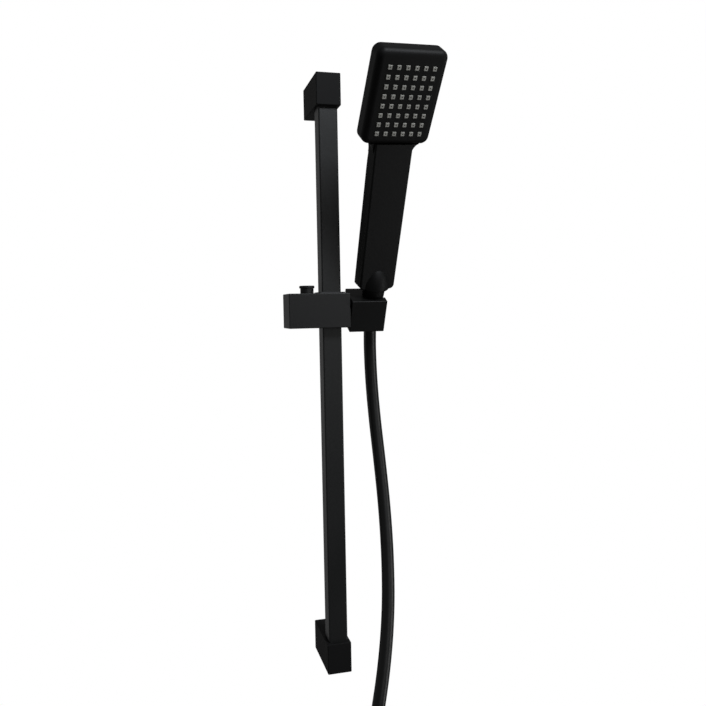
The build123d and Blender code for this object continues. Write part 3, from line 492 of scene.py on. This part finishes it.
class SHOWER_OT_mouldings(bpy.types.Operator):
    """Satin slider, matt holder, hand shower and spray plate, and the nylon pieces"""

    bl_idname = "shower.mouldings"
    bl_label = "Mouldings"

    def execute(self, context):
        finish = context.scene.shower.finish
        satin = grained_finish(
            "slider_satin_black", finish.slider, finish.slider_roughness, MATT_GRAIN, specular=0.44
        )
        wear_finish(SLIDER_NODES, satin)
        moulded = finish.moulded, finish.moulded_roughness, MATT_GRAIN
        matt = grained_finish("moulded_matt_black", *moulded, specular=0.19)
        wear_finish(HANDSET_NODES, matt)
        block = grained_finish("holder_matt_black", *moulded, specular=0.29)
        wear_finish(HOLDER_NODES, block)
        face = grained_finish(
            "spray_plate_black", finish.plate, finish.plate_roughness, MATT_GRAIN, specular=0.15
        )
        wear_finish(PLATE_NODES, face)
        nylon = grained_finish("dark_nylon", finish.nylon, roughness=0.5, grain=NYLON_GRAIN)
        wear_finish(NYLON_NODES, nylon)
        return {"FINISHED"}


class SHOWER_OT_water_way(bpy.types.Operator):
    """Soft nozzles, rubber seals and brass of the water way, and the plated inlet fitting"""

    bl_idname = "shower.water_way"
    bl_label = "Nozzles, seals and fittings"

    def execute(self, context):
        finish = context.scene.shower.finish
        silicone = grained_finish(
            "nozzle_silicone", finish.nozzle, roughness=0.5, grain=SILICONE_GRAIN, contrast=0.05
        )
        wear_finish(NOZZLE_NODES, silicone)
        rubber = grained_finish("seal_rubber", finish.rubber, roughness=0.65, grain=RUBBER_GRAIN)
        wear_finish(RUBBER_NODES, rubber)
        brass = grained_finish(
            "turned_brass", finish.brass, roughness=0.28, grain=TURNED_GRAIN, metallic=1.0
        )
        wear_finish(BRASS_NODES, brass)
        plated = grained_finish("plated_black", finish.rail, roughness=0.33, grain=PLATED_GRAIN)
        wear_finish(FITTING_NODES, plated)
        return {"FINISHED"}


class SHOWER_OT_windings(bpy.types.Operator):
    """Round-wire springs in the slider, and the inlet thread"""

    bl_idname = "shower.windings"
    bl_label = "Springs and thread"

    def execute(self, context):
        settings = context.scene.shower.winding
        finish = context.scene.shower.finish
        steel = grained_finish(
            "spring_steel", finish.steel, roughness=0.32, grain=WIRE_GRAIN, metallic=1.0
        )
        upwards, rightwards = Vector((0, 0, 1)), Vector((1, 0, 0))
        self.make_spring(settings, "button_spring", "button_press", upwards, steel)
        self.make_spring(settings, "brake_spring", "brake_release", rightwards, steel)
        self.make_thread(settings, bpy.data.materials["plated_black"])
        return {"FINISHED"}

    def make_spring(self, settings, node, joint, axis, material):
        """A spring as large as its square-wire solid, held at the axis's foot."""
        low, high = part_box(node)
        size = high - low
        length = size.dot(axis)
        centre = (low + high) / 2
        anchor = centre - axis * (length / 2)
        radius = (max(size - axis * length) - settings.wire) / 2
        pitch = (length - settings.wire) / settings.spring_turns
        foot = anchor + axis * (settings.wire / 2)
        sculpt = wind(
            WIRE_SIDES, settings.wire, foot, axis, radius, pitch, settings.spring_turns
        )
        spring = mesh_piece(node + "_wire", sculpt, "slider", material)
        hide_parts(node)
        travel = joint_named(joint)["range_m"][1]
        1 - travel / length
        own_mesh(spring)

    def make_thread(self, settings, material):
        """A pointed ridge that winds up the inlet nut's bore from just inside its mouth."""
        mounts = frame["record"]["mounts"]
        inlet = next(mount for mount in mounts if mount["name"] == "water_inlet")
        inwards = -Vector(inlet["axis"])
        bore = inlet["dims"]["r_mm"] / MM_PER_METRE
        depth = inlet["dims"]["length_mm"] / MM_PER_METRE
        radius = bore - settings.thread_height + settings.thread_width / 2
        turns = depth / settings.thread_pitch - 1
        foot = Vector(inlet["pos_m"]) + inwards * (settings.thread_pitch / 2)
        sculpt = wind(
            RIDGE_SIDES, settings.thread_width, foot, inwards, radius, settings.thread_pitch, turns
        )
        mesh_piece("inlet_thread", sculpt, "inlet_fitting", material)


class SHOWER_OT_hose(bpy.types.Operator):
    """Smooth hose on one line: free stretch from the nut, then the tied coil"""

    bl_idname = "shower.hose"
    bl_label = "Hose"

    def execute(self, context):
        settings = context.scene.shower.hose
        finish = context.scene.shower.finish
        mouth = Vector(joint_named("hose_swing")["pos_m"])
        points = self.route(settings, mouth)
        line = bpy.data.curves.new("hose", "CURVE")
        line.dimensions = "3D"
        spline = line.splines.new("NURBS")
        spline.points.add(len(points) - 1)
        for control, place in zip(spline.points, points):
            control.co = (*place, 1)
        spline.order_u = 3
        spline.use_endpoint_u = True
        spline.resolution_u = HOSE_SMOOTHNESS
        line.bevel_depth = settings.diameter / 2
        line.bevel_resolution = HOSE_SMOOTHNESS
        line.use_fill_caps = True
        skin = grained_finish(
            "hose_satin", finish.hose, finish.hose_roughness, HOSE_GRAIN, cloud=0.03, specular=0.42
        )
        line.materials.append(skin)
        hose = bpy.data.objects.new("hose", line)
        context.scene.collection.objects.link(hose)
        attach(hose, "hose")
        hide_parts("hose_hang", "hose_coil")
        return {"FINISHED"}

    def route(self, settings, mouth):
        """The hose's points: out of the nut's mouth, down, round the coil and into the fitting."""
        lift = Vector(joint_named("handset_lift")["axis"])
        pitch = settings.diameter + settings.coil_gap
        down = Vector((0, pitch / math.tau, -settings.coil_radius)).normalized()
        coil_start = COIL_ENTRY + down * settings.diameter
        coil_end = coil_start + Vector((0, pitch * settings.coil_turns, 0))
        middle = coil_start - Vector((settings.coil_radius, 0, 0))
        points = [mouth + lift * settings.inside, mouth]
        points += [Vector(point) for point in HOSE_POINTS]
        points += [COIL_ENTRY - down * settings.coil_lead, COIL_ENTRY]
        step = math.tau / settings.points_per_turn
        reach = settings.coil_radius / math.cos(step / 2)
        for number in range(settings.coil_turns * settings.points_per_turn + 1):
            angle = number * step
            across, drop = reach * math.cos(angle), -reach * math.sin(angle)
            points.append(middle + Vector((across, pitch * angle / math.tau, drop)))
        points.append(coil_end + down * settings.coil_tail)
        return points


class SHOWER_OT_stage(bpy.types.Operator):
    """Pale floor that fades into a white background, lamps and the photograph's camera"""

    bl_idname = "shower.stage"
    bl_label = "Stage"

    def execute(self, context):
        stage = context.scene.shower.stage
        self.make_floor(stage)
        self.make_world(context, stage)
        self.add_lamp("key_lamp", KEY_PLACE, LAMP_AIM, KEY_SIZE, stage.key_power, KEY_COLOUR)
        self.add_lamp("strip_lamp", STRIP_PLACE, STRIP_AIM, STRIP_SIZE, stage.strip_power)
        self.add_lamp("front_lamp", FRONT_PLACE, LAMP_AIM, FRONT_SIZE, stage.front_power)
        view = bpy.data.cameras.new("camera")
        view.lens = stage.lens
        view.sensor_width = SENSOR_WIDTH
        camera = bpy.data.objects.new("camera", view)
        turn = Matrix((CAMERA_RIGHT, CAMERA_UP, CAMERA_BACK)).transposed().to_4x4()
        camera.matrix_world = Matrix.Translation(CAMERA_PLACE) @ turn
        context.scene.collection.objects.link(camera)
        context.scene.camera = camera
        context.scene.view_settings.view_transform = "Standard"
        return {"FINISHED"}

    def make_floor(self, stage):
        """A pale disc below the shower, which fades to white at its rim and is clear from below."""
        material = bpy.data.materials.new("pale_floor")
        tree = ShaderTree(material)
        spread = tree.node(
            "ShaderNodeVectorMath",
            {"operation": "LENGTH"},
            {0: tree.object_coordinates()},
            output="Value",
        )
        fade = tree.node(
            "ShaderNodeMapRange",
            {"interpolation_type": "SMOOTHSTEP"},
            {
                "Value": spread,
                "From Min": stage.floor_radius * FADE_START,
                "From Max": stage.floor_radius * FADE_END,
                "To Min": stage.floor_white,
            },
        )
        paint = tree.node("ShaderNodeBsdfDiffuse", inputs={"Color": FLOOR_PAINT})
        glow = tree.node("ShaderNodeEmission", inputs={"Color": BACKDROP_WHITE, "Strength": 1.0})
        top = tree.blend(fade * tree.ray_is("Camera"), paint, glow)
        underside = tree.node("ShaderNodeNewGeometry", output="Backfacing")
        clear = tree.node("ShaderNodeBsdfTransparent")
        tree.surface(tree.blend(underside, top, clear))
        sculpt = bmesh.new()
        bmesh.ops.create_circle(
            sculpt, cap_ends=True, radius=stage.floor_radius, segments=FLOOR_SEGMENTS
        )
        mesh = bpy.data.meshes.new("floor")
        sculpt.to_mesh(mesh)
        sculpt.free()
        mesh.materials.append(material)
        floor = bpy.data.objects.new("floor", mesh)
        slide_down = -joint_named("slider_slide")["range_m"][0]
        floor.location = (0, FLOOR_MIDDLE_Y, CAD_BOX[0].z - slide_down - stage.floor_drop)
        bpy.context.scene.collection.objects.link(floor)

    def make_world(self, context, stage):
        """White to the camera, and partly so to gloss from behind and from the left.

        The rest is a dim room that is lighter above.
        """
        world = bpy.data.worlds.new("studio")
        context.scene.world = world
        tree = ShaderTree(world)
        way = tree.node("ShaderNodeTexCoord", output="Generated")
        height = tree.part(way, "Z") * 0.5 + 0.5
        behind = tree.part(way, "Y").positive()
        left = (0 - tree.part(way, "X")).positive()
        shown = behind * behind * stage.gloss_behind + left * left * stage.gloss_left
        shade = tree.mix(height, rgba(WHITE, stage.room_foot), rgba(WHITE, stage.room_top))
        room = tree.node("ShaderNodeBackground", inputs={"Color": shade, "Strength": 1.0})
        white = tree.node(
            "ShaderNodeBackground", inputs={"Color": BACKDROP_WHITE, "Strength": 1.0}
        )
        share = tree.ray_is("Camera") + tree.ray_is("Transmission") + tree.ray_is("Glossy") * shown
        tree.node("ShaderNodeOutputWorld", inputs={"Surface": tree.blend(share, room, white)})

    def add_lamp(self, name, place, aim, size, power, colour=WHITE):
        """A rectangular soft lamp that looks at a point."""
        lamp = bpy.data.lights.new(name, "AREA")
        lamp.color = colour
        lamp.shape = "RECTANGLE"
        lamp.size, lamp.size_y = size
        lamp.energy = power
        holder = bpy.data.objects.new(name, lamp)
        turn = (aim - place).to_track_quat("-Z", "Y").to_matrix().to_4x4()
        holder.matrix_world = Matrix.Translation(place) @ turn
        bpy.context.scene.collection.objects.link(holder)


class SHOWER_PT_panel(bpy.types.Panel):
    """The shower's settings and the steps that dress it"""

    bl_label = "Hand shower"
    bl_idname = "SHOWER_PT_panel"
    bl_space_type = "VIEW_3D"
    bl_region_type = "UI"
    bl_category = "Shower"

    def draw(self, context):
        for operator in OPERATORS:
            self.layout.operator(operator.bl_idname)
        settings = context.scene.shower
        for group in (settings.finish, settings.hose, settings.winding, settings.stage):
            box = self.layout.box()
            for name in group.bl_rna.properties.keys():
                if name not in ("rna_type", "name"):
                    box.prop(group, name)


OPERATORS = (
    SHOWER_OT_stage,
    SHOWER_OT_hose,
    SHOWER_OT_rail,
    SHOWER_OT_mouldings,
    SHOWER_OT_water_way,
    SHOWER_OT_windings,
)
SETTINGS = (FinishSettings, HoseSettings, WindingSettings, StageSettings, ShowerSettings)
CLASSES = (*SETTINGS, *OPERATORS, SHOWER_PT_panel)


def register():
    for group in CLASSES:
        bpy.utils.register_class(group)
    bpy.types.Scene.shower = PointerProperty(type=ShowerSettings)


def unregister():
    del bpy.types.Scene.shower
    for group in reversed(CLASSES):
        bpy.utils.unregister_class(group)


def main():
    register()
    for operator in OPERATORS:
        section, action = operator.bl_idname.split(".")
        getattr(getattr(bpy.ops, section), action)()


if __name__ == "__main__":
    main()
